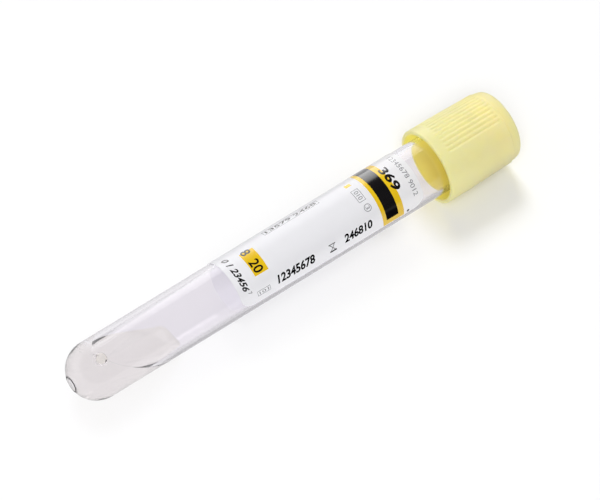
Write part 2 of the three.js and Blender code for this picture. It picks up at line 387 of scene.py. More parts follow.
@dataclass
class Surface:
    """A material in the making: a Principled shader with grain and handling marks ready to use."""

    name: str
    fine_scale: float = 9000.0
    broad_scale: float = 400.0
    mark_scale: float = 120.0
    mark_amount: float = 1.0
    sheet: NodeSheet = field(init=False)
    shader: bpy.types.Node = field(init=False)
    height: Socket = field(init=False)
    tone: Socket = field(init=False)
    marks: Socket = field(init=False)
    material: bpy.types.Material = field(init=False)
    result: Socket = field(init=False)

    def __post_init__(self) -> None:
        """Makes the material and its shared parts."""
        self.material = bpy.data.materials.new(self.name)
        self.material.use_nodes = True
        self.material.node_tree.nodes.clear()
        self.sheet = NodeSheet(self.material.node_tree)
        place = self.sheet.add("ShaderNodeTexCoord").outputs["Object"]
        scales = {"Fine Scale": self.fine_scale, "Broad Scale": self.broad_scale}
        grain = self.group(moulded_grain(), scales, place)
        marks = self.group(handling_marks(), {"Scale": self.mark_scale, "Amount": self.mark_amount}, place)
        self.height, self.tone = grain.outputs["Height"], grain.outputs["Tone"]
        self.marks = marks.outputs["Mask"]
        self.shader = self.sheet.add("ShaderNodeBsdfPrincipled")
        self.finish_with(self.shader.outputs[0])

    def group(self, tree: bpy.types.NodeTree, values: dict, place: Socket) -> bpy.types.Node:
        """Places a node group, fed with object coordinates."""
        node = self.sheet.add("ShaderNodeGroup", node_tree=tree)
        for name, value in values.items():
            node.inputs[name].default_value = value
        self.sheet.join(place, node.inputs["Vector"])
        return node

    def set(self, **values: object) -> None:
        """Sets plain values on the shader, by socket name with _ for a space."""
        for name, value in values.items():
            self.shader.inputs[name.replace("_", " ")].default_value = value

    def colour(self, low: Colour, high: Colour) -> None:
        """Drives the base colour between two colours by the slow tone."""
        self.sheet.join(self.sheet.blend(self.tone, low, high), self.shader.inputs["Base Color"])

    def roughness(self, clean: float, rubbed: float) -> None:
        """Drives the roughness by the handling marks."""
        worn = self.sheet.ramp(self.marks, (0.0, clean), (1.0, rubbed))
        self.sheet.join(worn, self.shader.inputs["Roughness"])

    def bump(self, depth_mm: float, strength: float = 1.0) -> None:
        """Raises the grain by a real depth."""
        node = self.sheet.add("ShaderNodeBump", {"Strength": strength, "Distance": depth_mm * MM})
        self.sheet.join(self.height, node.inputs["Height"])
        self.sheet.join(node.outputs["Normal"], self.shader.inputs["Normal"])

    def finish_with(self, shader: Socket) -> None:
        """Sends a shader to the material's output."""
        output = self.sheet.tree.nodes.get("Material Output") or self.sheet.add("ShaderNodeOutputMaterial")
        self.sheet.join(shader, output.inputs["Surface"])
        self.result = shader

    def turned_place(self, axis: TubeAxis) -> Socket:
        """Returns object coordinates turned to run along and round the tube's axis, in metres."""
        turned = self.sheet.add("ShaderNodeMapping", vector_type="TEXTURE")
        turned.inputs["Location"].default_value = axis.start
        turned.inputs["Rotation"].default_value = axis.matrix().to_euler()
        self.sheet.join(self.sheet.add("ShaderNodeTexCoord").outputs["Object"], turned.inputs["Vector"])
        return turned.outputs["Vector"]

    def radius_at(self, place: Socket) -> Socket:
        """Returns the distance from the axis of a place that turned_place gave."""
        across = self.sheet.add("ShaderNodeVectorMath", {1: (0.0, 1.0, 1.0)}, operation="MULTIPLY")
        self.sheet.join(place, across.inputs[0])
        return self.sheet.length(across.outputs["Vector"])

    def tint_over(self, below: Socket, mask: Socket, colour: Colour) -> Socket:
        """Lays a colour over another where a mask is 1, and returns the result."""
        tint = self.sheet.add("ShaderNodeMix", {7: colour}, data_type="RGBA")
        self.sheet.join(mask, tint.inputs[0])
        self.sheet.join(below, tint.inputs[6])
        return tint.outputs[2]

    def let_lamps_through(self, tint: Colour, scattered: bool = True) -> None:
        """Lets light pass a piece with a tint, so that its shadow stays light.

        Args:
            tint: What is left of the light after one surface.
            scattered: Whether scattered light passes as well as the lamps' own light.
        """
        path = self.sheet.add("ShaderNodeLightPath").outputs
        clear = self.sheet.add("ShaderNodeBsdfTransparent", {"Color": tint}).outputs[0]
        shown = self.sheet.mix(path["Is Shadow Ray"], self.result, clear)
        self.finish_with(self.sheet.mix(path["Is Diffuse Ray"], shown, clear) if scattered else shown)

    def let_light_soak(self, share: float | Socket, colour: Colour) -> None:
        """Lets a share of the light soak through a thin milky wall and leave it scattered."""
        soaked = self.sheet.add("ShaderNodeBsdfTranslucent", {"Color": colour}).outputs[0]
        self.finish_with(self.sheet.mix(share, self.result, soaked))


# ------------------------------------------------------------ finishes


@dataclass(frozen=True)
class ClearPolyester:
    """Clear moulded polyester with faint flow and a few rubbed marks, and painted shade where its wall is
    seen slantwise, on its low side and in the gate's groove.
    """

    low: Colour = (0.975, 0.958, 0.985, 1)
    high: Colour = (0.985, 0.968, 0.995, 1)
    edge: Colour = (0.7, 0.698, 0.71, 1)  # painted shade, where the wall is seen slantwise
    under: Colour = (0.3, 0.297, 0.308, 1)  # painted shade on the slantwise wall, on the side turned to the table
    cut: Colour = (0.02, 0.02, 0.02, 1)  # painted shade in the groove round the gate's mark, where it is seen slantwise
    passed: Colour = (0.98, 0.978, 0.985, 1)  # tint of the light that passes one surface
    index: float = 1.57
    under_top: Fade = ((-1.0, 1.0), (0.6, 0.0))  # heights from the axis where the painted shade of the low side begins
    under_foot: Fade = ((-5.2, 0.3), (-3.6, 1.0))  # heights where it weakens again, by the table
    under_start: Fade = ((7.0, 0.0), (15.0, 1.0))  # places along the tube where it begins
    under_skin: float = 0.3  # how far it comes in from the bore
    tip: Fade = ((-5.2, 1.0), (-5.0, 0.0))  # places along the tube where the round end's tip is
    groove_rim: tuple[float, float] = (0.2, 0.25)  # soft rims inside and outside the gate's groove

    def material(self, axis: TubeAxis, bore: float, gate: tuple[float, float]) -> bpy.types.Material:
        """Returns the material of the tube's wall.

        Args:
            axis: The line that the tube is turned about.
            bore: The widest radius of its bore, in millimetres.
            gate: Inner and outer radius of the groove round the gate's mark, in millimetres.
        """
        surface = Surface("clear_polyester", fine_scale=500, broad_scale=90, mark_scale=60, mark_amount=0.6)
        surface.set(IOR=self.index, Transmission_Weight=1.0, Specular_Tint=(0.8, 0.8, 0.8, 1))
        sheet = surface.sheet
        facing = sheet.add("ShaderNodeLayerWeight").outputs["Facing"]
        place = surface.turned_place(axis)
        parts = sheet.split(place)
        radius = surface.radius_at(place)
        # painted shade on the tube's low side, where its wall is seen slantwise
        low_side_shade = sheet.product(
            sheet.fade(parts["Z"], self.under_top),
            sheet.fade(parts["Z"], self.under_foot),
            sheet.fade(parts["X"], self.under_start),
            sheet.fade(radius, ((bore, 0.0), (bore + self.under_skin, 1.0))),
            sheet.ramp(facing, (0.28, 0.0), (0.42, 1.0)),
        )
        # painted shade in the gate's groove, where it is seen slantwise
        groove = sheet.product(
            sheet.fade(radius, ((gate[0] - self.groove_rim[0], 0.0), (gate[0], 1.0))),
            sheet.fade(radius, ((gate[1], 1.0), (gate[1] + self.groove_rim[1], 0.0))),
            sheet.ramp(facing, (0.45, 0.0), (0.8, 1.0)),
            sheet.fade(parts["X"], self.tip),
        )
        tint = sheet.blend(surface.tone, self.low, self.high)
        # painted shade where the wall is seen slantwise
        tint = surface.tint_over(tint, sheet.ramp(facing, (0.58, 0.0), (0.8, 1.0)), self.edge)
        tint = surface.tint_over(tint, low_side_shade, self.under)
        tint = surface.tint_over(tint, groove, self.cut)
        sheet.join(tint, surface.shader.inputs["Base Color"])
        surface.roughness(0.03, 0.07)
        surface.bump(0.01, 0.08)
        surface.let_lamps_through(self.passed)
        return surface.material


@dataclass(frozen=True)
class AdditiveLiquid:
    """A clear watery liquid with a faint warm tint."""

    low: Colour = (0.975, 0.968, 0.915, 1)
    high: Colour = (0.985, 0.978, 0.93, 1)
    passed: Colour = (0.96, 0.955, 0.94, 1)  # tint of the light that passes one surface
    index: float = 1.34

    def material(self) -> bpy.types.Material:
        """Returns the material of the additive."""
        surface = Surface("additive_liquid", fine_scale=120, broad_scale=60, mark_scale=200, mark_amount=0.2)
        surface.set(IOR=self.index, Transmission_Weight=1.0)
        surface.colour(self.low, self.high)
        surface.roughness(0.0, 0.02)
        surface.bump(0.02, 0.1)
        surface.let_lamps_through(self.passed)
        return surface.material


@dataclass(frozen=True)
class PrintedFilm:
    """White label film or an ink on it, under one glossy varnish."""

    name: str
    low: Colour
    high: Colour
    milky: float = 0.0  # share of the light that soaks through
    passed: Colour = (1.0, 1.0, 1.0, 1)  # tint of the light that passes one surface
    gloss: Fade | None = None  # heights above the table where its gloss begins, if it isn't glossy all round

    def material(self) -> bpy.types.Material:
        """Returns the material of the film or ink."""
        surface = Surface(self.name, fine_scale=6000, broad_scale=250, mark_scale=90, mark_amount=0.7)
        surface.set(IOR=1.5)
        surface.colour(self.low, self.high)
        surface.roughness(0.17, 0.3)
        surface.bump(0.003, 0.5)
        surface.set(Coat_Weight=0.6, Coat_Roughness=0.2, Coat_IOR=1.5)
        if self.milky:
            surface.set(Specular_IOR_Level=0.3)
            surface.let_light_soak(self.milky, self.high)
        if self.gloss:
            place = surface.sheet.add("ShaderNodeTexCoord").outputs["Object"]
            shine = surface.sheet.fade(surface.sheet.split(place)["Z"], self.gloss)
            surface.sheet.join(shine, surface.shader.inputs["Coat Weight"])
            surface.sheet.join(surface.sheet.product(shine, 0.5), surface.shader.inputs["Specular IOR Level"])
        surface.let_lamps_through(self.passed)
        return surface.material


@dataclass(frozen=True)
class CapPlastic:
    """Pale yellow moulded polyethylene that lets some light through its wall, with a painted glow, painted
    light and painted shade inside.
    """

    low: Colour = (0.875, 0.88, 0.555, 1)
    high: Colour = (0.89, 0.9, 0.595, 1)
    inside: Colour = (0.985, 0.84, 0.24, 1)  # painted glow inside: deeper gold, standing in for light that has come through the wall
    painted_low_shade: Colour = (0.66, 0.43, 0.035, 1)  # painted shade inside, low down
    painted_rim_light: Colour = (0.96, 0.8, 0.22, 1)  # painted light inside, close to the open end
    soaked: Colour = (0.93, 0.9, 0.45, 1)  # light that has soaked through
    milky: float = 0.38  # share of the light that soaks through
    milky_inside: float = 0.65
    passed: Colour = (0.5, 0.46, 0.14, 1)  # tint of the lamp light that passes one side of the wall
    inside_edge: tuple[float, float] = (0.1, 0.35)  # beyond the bore, where the painted glow inside fades
    plate_edge: tuple[float, float] = (0.1, 0.4)  # beyond the top's underside, where it fades
    low_shade: Fade = ((-5.5, 1.0), (2.0, 0.0))  # heights from the axis where the painted shade is
    rim_reach: tuple[float, float] = (17.8, 15.0)  # distances from the plate where the painted light by the rim fades

    def material(self, axis: TubeAxis, bore: float, plate: float) -> bpy.types.Material:
        """Returns the material of the cap.

        Args:
            axis: The line that the cap is turned about.
            bore: Radius of the skirt's bore, in millimetres.
            plate: Where the underside of its top is along that line, in millimetres.
        """
        surface = Surface("cap_polyethylene", fine_scale=7000, broad_scale=300, mark_scale=110)
        surface.set(
            IOR=1.5,
            Specular_IOR_Level=0.9,
            Subsurface_Weight=1.0,
            Subsurface_Radius=(1.0, 0.9, 0.5),
            Subsurface_Scale=0.5 * MM,
        )
        sheet = surface.sheet
        place = surface.turned_place(axis)
        parts = sheet.split(place)
        near, far = self.inside_edge
        first, last = self.plate_edge
        # painted glow inside the cap, standing in for light through the wall
        inside = sheet.product(
            sheet.fade(surface.radius_at(place), ((bore + near, 1.0), (bore + far, 0.0))),
            sheet.fade(parts["X"], ((plate + first, 1.0), (plate + last, 0.0))),
        )
        low_shade = sheet.product(inside, sheet.fade(parts["Z"], self.low_shade))
        rim, reach = self.rim_reach
        rim_light_mask = sheet.product(inside, sheet.fade(parts["X"], ((plate - rim, 1.0), (plate - reach, 0.0))))
        tint = sheet.blend(surface.tone, self.low, self.high)
        # painted glow, painted shade low down and painted light by the rim, laid over the cap's colour inside
        for mask, colour in ((inside, self.inside), (low_shade, self.painted_low_shade), (rim_light_mask, self.painted_rim_light)):
            tint = surface.tint_over(tint, mask, colour)
        sheet.join(tint, surface.shader.inputs["Base Color"])
        surface.roughness(0.36, 0.5)
        surface.bump(0.006, 0.6)
        surface.let_light_soak(sheet.ramp(inside, (0.0, self.milky), (1.0, self.milky_inside)), self.soaked)
        surface.let_lamps_through(self.passed, scattered=False)
        return surface.material


@dataclass(frozen=True)
class StopperRubber:
    """Dull yellow moulded rubber with a dusting of talc."""

    low: Colour = (0.84, 0.68, 0.2, 1)
    high: Colour = (0.88, 0.73, 0.24, 1)

    def material(self) -> bpy.types.Material:
        """Returns the material of the stopper."""
        surface = Surface("stopper_rubber", fine_scale=5000, broad_scale=500, mark_scale=160)
        surface.set(IOR=1.5)
        surface.colour(self.low, self.high)
        surface.roughness(0.62, 0.8)
        surface.bump(0.01, 0.7)
        return surface.material


# ------------------------------------------------------------ sub-assemblies


@dataclass
class ClearTube:
    """The moulded tube: a round closed end with the mark of its gate, a tapering wall and a rounded lip."""

    axis: TubeAxis
    finish: ClearPolyester = field(default_factory=ClearPolyester)
    length: float = 100.0
    end_radius: float = 6.1
    wall: float = 1.05
    taper: float = 0.00346
    lip_round: float = 0.3
    gate_radius: float = 1.5
    gate_groove: float = 0.36
    gate_proud: float = 0.04
    gate_depth: float = 0.22
    facets: int = 160
    end_steps: int = 28
    lip_steps: int = 6

    @property
    def gate_x(self) -> float:
        """Where the gate's disc ends the tube."""
        return -math.sqrt(self.end_radius**2 - self.gate_radius**2) - self.gate_proud

    @property
    def mouth_x(self) -> float:
        """Where the mouth is."""
        return self.length + self.gate_x

    def radius(self, x: float) -> float:
        """Returns the outer radius of the tapering part."""
        return self.end_radius + self.taper * max(x, 0.0)

    def bore(self, x: float) -> float:
        """Returns the bore's radius anywhere along it, the round end included."""
        if x >= 0:
            return self.radius(x) - self.wall
        return math.sqrt(max((self.end_radius - self.wall) ** 2 - x * x, 0.0))

    def build(self) -> Piece:
        """Builds and dresses the tube.

        Returns:
            The tube, riding on the tube's body.
        """
        groove = self.gate_radius + self.gate_groove
        lip_angle = 180 - math.degrees(math.asin(groove / self.end_radius))
        floor = self.gate_x + self.gate_depth
        mouth, lip = self.mouth_x, self.lip_round
        profile = [
            (self.gate_x, 0.0),
            (self.gate_x, self.gate_radius - 0.12),
            (self.gate_x + 0.04, self.gate_radius - 0.03),
            (floor - 0.03, self.gate_radius + 0.03),
            (floor, self.gate_radius + 0.08),
            (floor, groove - 0.06),
            *arc(0, 0, self.end_radius, lip_angle, 90, self.end_steps),
            *arc(mouth - lip, self.radius(mouth) - lip, lip, 90, 0, self.lip_steps),
            *arc(mouth - lip, self.bore(mouth) + lip, lip, 0, -90, self.lip_steps),
            *arc(0, 0, self.end_radius - self.wall, 90, 180, self.end_steps),
        ]
        tube = as_object("clear_tube_wall", lathe(profile, self.facets), self.axis)
        material = self.finish.material(self.axis, self.bore(mouth), (self.gate_radius, groove))
        tube.data.materials.append(material)
        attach(tube, Body.TUBE.value)
        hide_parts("tube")
        return tube


@dataclass
class Additive:
    """The liquid in the round end, slumped against the wall, with a bubble at its edge."""

    tube: ClearTube
    finish: AdditiveLiquid = field(default_factory=AdditiveLiquid)
    wetting: float = 0.02  # how far it reaches into the wall, so that no air shows between them
    climb: float = 0.7  # how far the surface climbs at the wall
    arc_points: int = 56
    surface_points: int = 20
    slope_steps: int = 26
    front_steps: int = 9
    curl: int = 10  # power of the curve that lifts the surface at the wall
    bubble: tuple[float, float, float] = (0.7, -0.95, 3.55)
    bubble_radius: float = 1.22
    bubble_film: float = 0.09
    # Middle line of the surface as a Bezier curve of (along, height): start, two handles and end. Its blunt
    # front is given in the same way.
    slope: tuple = ((-2.6, 5.6), (2.2, 4.6), (8.5, -3.2), (16.7, -4.1))
    front: tuple = ((16.7, -4.1), (17.6, -4.25), (18.1, -4.6), (18.2, -5.06))

    def surface_line(self) -> list[Vector]:
        """Returns points (along, height, 0) down the middle of the liquid's surface."""
        line: list[Vector] = []
        for knots, steps in ((self.slope, self.slope_steps), (self.front, self.front_steps)):
            points = [Vector((*knot, 0)) for knot in knots]
            line += interpolate_bezier(*points, steps)[1 if line else 0 :]
        return line

    def section(self, x: float, height: float) -> list[Vector]:
        """Outlines the liquid where a plane crosses the tube.

        Args:
            x: Where the plane is.
            height: Height of the middle of the surface there, from the axis.

        Returns:
            Points from one waterline round the bottom to the other, then back along the surface.
        """
        radius = max(self.tube.bore(x) + self.wetting, 0.02)
        edge = min(height + self.climb * smooth_step(height, -5.2, -3.0), 0.9995 * radius)
        edge = max(edge, -0.995 * radius)
        start = math.acos(edge / radius)
        points = []
        for i in range(self.arc_points + 1):
            angle = start + (math.tau - 2 * start) * i / self.arc_points
            points.append(Vector((x, -radius * math.sin(angle), radius * math.cos(angle))))
        half = radius * math.sin(start)
        middle = min(height, edge)
        for i in range(1, self.surface_points):
            share = -1 + 2 * i / self.surface_points
            points.append(Vector((x, -share * half, middle + (edge - middle) * share**self.curl)))
        return points

    def loft(self) -> BMesh:
        """Carries one outline through all the sections, from the round end to the liquid's front."""
        line = self.surface_line()
        end = self.tube.end_radius - self.tube.wall
        full = [(-end * math.cos(math.radians(a)), 9.0) for a in range(3, 60, 6)]
        places = full + [(point.x, point.y) for point in line]
        sections = [self.section(x, height) for x, height in places]
        bm = bmesh.new()
        ring = [bm.verts.new(point) for point in sections[0]]
        bm.faces.new(ring)
        for section in sections[1:]:
            edges = [bm.edges.get(pair) for pair in zip(ring, ring[1:] + ring[:1])]
            made = bmesh.ops.extrude_edge_only(bm, edges=edges)["geom"]
            fresh = {item for item in made if isinstance(item, bmesh.types.BMVert)}
            ring = [next(e.other_vert(v) for e in v.link_edges if e.other_vert(v) in fresh) for v in ring]
            for vert, place in zip(ring, section):
                vert.co = place
        bm.faces.new(ring)
        bmesh.ops.remove_doubles(bm, verts=bm.verts, dist=1e-4)
        bmesh.ops.recalc_face_normals(bm, faces=bm.faces)
        return bm

    def ball(self, name: str, radius: float) -> Piece:
        """Makes a ball at the bubble's place, to shape the liquid with."""
        bm = bmesh.new()
        bmesh.ops.create_uvsphere(bm, u_segments=40, v_segments=24, radius=radius)
        bmesh.ops.translate(bm, verts=bm.verts, vec=self.bubble)
        return as_object(name, bm, self.tube.axis)

    def build(self) -> Piece:
        """Builds and dresses the liquid.

        Returns:
            The liquid, riding on the tube's body.
        """
        liquid = as_object("additive_pool", self.loft(), self.tube.axis)
        film = self.ball("bubble_film", self.bubble_radius + self.bubble_film)
        air = self.ball("bubble_air", self.bubble_radius)
        for tool, operation in ((film, "UNION"), (air, "DIFFERENCE")):
            modifier = liquid.modifiers.new(tool.name, "BOOLEAN")
            modifier.operation, modifier.solver, modifier.object = operation, "EXACT", tool
        bake_modifiers(liquid)
        for tool in (film, air):
            bpy.data.objects.remove(tool)
        liquid.data.shade_smooth()
        liquid.data.set_sharp_from_angle(angle=math.radians(50))
        liquid.data.materials.clear()
        liquid.data.materials.append(self.finish.material())
        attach(liquid, Body.TUBE.value)
        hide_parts("additive")
        return liquid


@dataclass
class Label:
    """White film wrapped round the tube, a little askew, with generic print in three inks.

    Flat places on the sheet are (x, v): x along the tube and v round it, in millimetres from the top.
    """

    tube: ClearTube
    start: float = 31.0
    end: float = 76.35
    edge: float = 93.0  # degrees from the top where the film ends
    bare: float = 52.0  # degrees left bare beyond it
    skew: float = 5.0  # degrees the wrap drifts over its length
    corner: float = 3.0
    gap: float = 0.03
    film: float = 0.08
    ink: float = 0.012
    roll: float = 6.35  # radius that turns degrees into millimetres on the sheet
    cut_along: float = 5.0  # how finely the flat shapes are cut before they are bent
    cut_round: float = 0.3
    corner_steps: int = 10
    white: PrintedFilm = PrintedFilm(
        "label_film", (0.925, 0.925, 0.945, 1), (0.935, 0.935, 0.955, 1), 0.35, (0.95, 0.95, 0.955, 1)
    )
    black: PrintedFilm = PrintedFilm(
        "black_ink", (0.003, 0.003, 0.003, 1), (0.006, 0.005, 0.006, 1), gloss=((10.5, 0.0), (13.0, 1.0))
    )
    yellow: PrintedFilm = PrintedFilm("yellow_ink", (0.75, 0.485, 0.006, 1), (0.78, 0.515, 0.009, 1))
    grey: PrintedFilm = PrintedFilm("grey_ink", (0.16, 0.16, 0.175, 1), (0.2, 0.2, 0.215, 1))

    @property
    def middle(self) -> float:
        """Middle of the label along the tube."""
        return (self.start + self.end) / 2

    def arc_length(self, degrees: float) -> float:
        """Turns an angle on the sheet into its place v, in millimetres."""
        return math.radians(degrees) * self.roll

    def wrap(self, bm: BMesh, lift: float) -> BMesh:
        """Cuts flat shapes finely and bends them round the tube.

        Args:
            bm: Faces at (x, v, height above the sheet).
            lift: Distance of the sheet from the tube.

        Returns:
            The same mesh, bent.
        """
        for normal, step in ((Vector((1, 0, 0)), self.cut_along), (Vector((0, 1, 0)), self.cut_round)):
            reach = [v.co.dot(normal) for v in bm.verts]
            for i in range(math.floor(min(reach) / step) + 1, math.ceil(max(reach) / step)):
                geom = bm.verts[:] + bm.edges[:] + bm.faces[:]
                place = normal * (i * step)
                bmesh.ops.bisect_plane(bm, geom=geom, plane_co=place, plane_no=normal, dist=1e-4)
        drift = math.radians(self.skew) / (self.end - self.start)
        for vert in bm.verts:
            x, v, height = vert.co
            angle = v / self.roll + drift * (x - self.middle)
            radius = self.tube.radius(x) + lift + height
            vert.co = (x, -radius * math.sin(angle), radius * math.cos(angle))
        return bm

    def sheet(self) -> Piece:
        """Builds the film itself, with rounded corners."""
        low, high = self.arc_length(self.edge + self.bare - 360), self.arc_length(self.edge)
        bm = bmesh.new()
        self.panel(bm, self.start, self.end, low, high)
        bmesh.ops.bevel(
            bm,
            geom=bm.verts[:],
            offset=self.corner,
            segments=self.corner_steps,
            profile=0.5,
            affect="VERTICES",
            material=-1,
        )
        raised = bmesh.ops.extrude_face_region(bm, geom=bm.faces[:])["geom"]
        verts = [item for item in raised if isinstance(item, bmesh.types.BMVert)]
        bmesh.ops.translate(bm, verts=verts, vec=(0, 0, self.film))
        self.wrap(bm, self.gap)
        bmesh.ops.recalc_face_normals(bm, faces=bm.faces)
        obj = as_object("label_film_sheet", bm, self.tube.axis)
        obj.data.materials.append(self.white.material())
        return obj

    @staticmethod
    def panel(bm: BMesh, x0: float, x1: float, v0: float, v1: float) -> None:
        """Adds one flat rectangle to a sheet of marks."""
        size = Matrix.Diagonal((x1 - x0, v1 - v0, 1, 1))
        place = Matrix.Translation(((x0 + x1) / 2, (v0 + v1) / 2, 0))
        bmesh.ops.create_grid(bm, x_segments=1, y_segments=1, size=0.5, matrix=place @ size)

    @staticmethod
    def stroke(bm: BMesh, start: tuple[float, float], end: tuple[float, float], pen: float) -> None:
        """Adds a straight line of the given thickness between two flat places."""
        span = Vector(end) - Vector(start)
        middle = (Vector(end) + Vector(start)) / 2
        turn = Matrix.Rotation(math.atan2(span.y, span.x), 4, "Z") @ Matrix.Diagonal((span.length, pen, 1, 1))
        place = Matrix.Translation(middle.to_3d()) @ turn
        bmesh.ops.create_grid(bm, x_segments=1, y_segments=1, size=0.5, matrix=place)

    def frame(self, bm: BMesh, box: Box, pen: float) -> None:
        """Adds the outline of a rectangle."""
        x0, x1, v0, v1 = box
        corners = [(x0, v0), (x1, v0), (x1, v1), (x0, v1)]
        for start, end in zip(corners, corners[1:] + corners[:1]):
            self.stroke(bm, start, end, pen)

    @staticmethod
    def ring(bm: BMesh, centre: tuple[float, float], radius: float, pen: float) -> None:
        """Adds a ring of the given outer radius."""
        edges = []
        for size in (radius, radius - pen):
            place = Matrix.Translation((*centre, 0))
            made = bmesh.ops.create_circle(bm, segments=32, radius=size, matrix=place)
            edges += list({edge for vert in made["verts"] for edge in vert.link_edges})
        bmesh.ops.bridge_loops(bm, edges=edges)

    @staticmethod
    def number(
        bm: BMesh, figures: str, box: Box, way: Reading, bold: float = 0.0, slant: float = 0.0
    ) -> None:
        """Adds plain numbers, fitted to a box.

        Args:
            bm: The sheet of marks.
            figures: What it says.
            box: Their place.
            way: Which way they read.
            bold: How much the strokes are thickened, as a share of the letter size.
            slant: How far they lean.
        """
        curve = bpy.data.curves.new("number", "FONT")
        curve.body, curve.offset, curve.shear, curve.resolution_u = figures, bold, slant, 4
        obj = bpy.data.objects.new("number", curve)
        bpy.context.scene.collection.objects.link(obj)
        mesh = bpy.data.meshes.new_from_object(obj.evaluated_get(bpy.context.evaluated_depsgraph_get()))
        bpy.data.objects.remove(obj)
        low, high = ([pick(v.co[i] for v in mesh.vertices) for i in (0, 1)] for pick in (min, max))
        x0, x1, v0, v1 = box
        for vert in mesh.vertices:
            across, up = ((vert.co[i] - low[i]) / (high[i] - low[i]) for i in (0, 1))
            if way is Reading.ALONG:
                vert.co = (x0 + across * (x1 - x0), v1 - up * (v1 - v0), 0)
            else:
                vert.co = (x0 + up * (x1 - x0), v0 + across * (v1 - v0), 0)
        bm.from_mesh(mesh)

    def printed(self, name: str, ink: PrintedFilm, layer: int, draw: Callable) -> Piece:
        """Prints one ink on the film.

        Args:
            name: The piece's name.
            ink: Its finish.
            layer: How many inks lie under it.
            draw: Called with the flat sheet to draw on.

        Returns:
            The print as a thin skin on the film.
        """
        bm = bmesh.new()
        draw(bm)
        for vert in bm.verts:
            vert.co.z = 0
        bmesh.ops.recalc_face_normals(bm, faces=bm.faces)
        self.wrap(bm, self.gap + self.film + self.ink * (layer + 1))
        self.face_outwards(bm)
        obj = as_object(name, bm, self.tube.axis)
        obj.data.materials.append(ink.material())
        obj.visible_shadow = False  # the film under it already casts the shadow
        return obj

    @staticmethod
    def face_outwards(bm: BMesh) -> None:
        """Turns every face of a wrapped skin away from the tube."""
        bm.normal_update()
        wrong = [f for f in bm.faces if f.normal.dot(Vector((0, *f.calc_center_median().yz))) < 0]
        bmesh.ops.reverse_faces(bm, faces=wrong)

    def box(self, x0: float, x1: float, from_angle: float, to_angle: float) -> Box:
        """Returns a place on the sheet from its ends along the tube and its angles round it."""
        return (x0, x1, self.arc_length(from_angle), self.arc_length(to_angle))

    def draw_yellow(self, bm: BMesh) -> None:
        """Draws the yellow band, block and small mark."""
        self.panel(bm, *self.box(65.95, 71.2, self.edge + self.bare - 359, 91.5))
        self.panel(bm, *self.box(35.8, 39.05, -11.5, 41))
        self.panel(bm, *self.box(62.8, 64.2, -26, -17))

    def draw_black(self, bm: BMesh) -> None:
        """Draws the wide stripe and the bold figures."""
        self.panel(bm, *self.box(66.85, 69.8, self.edge + self.bare - 354, 80))
        self.number(bm, "12345678", self.box(39.8, 49.1, 59.3, 77.8), Reading.ALONG, 0.035, 0.2)
        self.number(bm, "246810", self.box(56.4, 63.5, 58.6, 75.6), Reading.ALONG, 0.035, 0.2)
        self.number(bm, "8  20", self.box(36.1, 38.3, -15, 37.5), Reading.AROUND, 0.02)
        self.number(bm, "369", self.box(70.4, 72.5, -15, 37), Reading.AROUND, 0.035)
        self.number(bm, "0 1 23456", self.box(32.15, 33.6, -22, 57), Reading.AROUND, 0.03, 0.35)
        self.number(bm, "7", self.box(33.0, 33.8, 60.5, 65), Reading.AROUND)
        self.number(bm, "13579 2468", self.box(43.6, 56.0, -33.5, -24), Reading.ALONG, 0.02)
        self.hourglass(bm, self.box(52.65, 54.3, 62, 76.3))
        self.ring(bm, (72.2, self.arc_length(86.9)), 0.3, 0.22)

    def hourglass(self, bm: BMesh, box: Box) -> None:
        """Draws a plain hourglass sign."""
        x0, x1, v0, v1 = box
        self.stroke(bm, (x0, v1), (x1, v1), 0.34)
        self.stroke(bm, (x0, v0), (x1, v0), 0.16)
        for low, high in ((x0, x1), (x1, x0)):
            self.stroke(bm, (low + (high - low) * 0.12, v0), (high - (high - low) * 0.12, v1), 0.13)

    def draw_grey(self, bm: BMesh) -> None:
        """Draws the small figures and their frames."""
        self.number(bm, "12345678 9012", self.box(74.2, 75.25, -33, 64), Reading.AROUND)
        self.frame(bm, self.box(43.1, 56.5, -36, -22), 0.1)
        self.frame(bm, self.box(34.9, 37.9, 68.6, 78.2), 0.09)
        self.number(bm, "101", self.box(35.3, 37.5, 70.4, 76.5), Reading.ALONG)
        self.frame(bm, self.box(62.85, 64.45, -4, 22.5), 0.1)
        self.number(bm, "010", self.box(63.15, 64.15, 0, 18.5), Reading.AROUND)
        self.ring(bm, (63.85, self.arc_length(37.3)), 0.82, 0.13)
        self.number(bm, "3", self.box(63.4, 64.3, 34.3, 40), Reading.AROUND)

    def build(self) -> list[Piece]:
        """Builds the film and its print.

        Returns:
            The film first, then the inks, all riding on the tube's body.
        """
        sheet = self.sheet()
        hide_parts("label")
        inks = [
            self.printed("label_yellow_print", self.yellow, 0, self.draw_yellow),
            self.printed("label_black_print", self.black, 1, self.draw_black),
            self.printed("label_grey_print", self.grey, 0, self.draw_grey),
        ]
        for piece in (sheet, *inks):
            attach(piece, Body.TUBE.value)
        return [sheet, *inks]


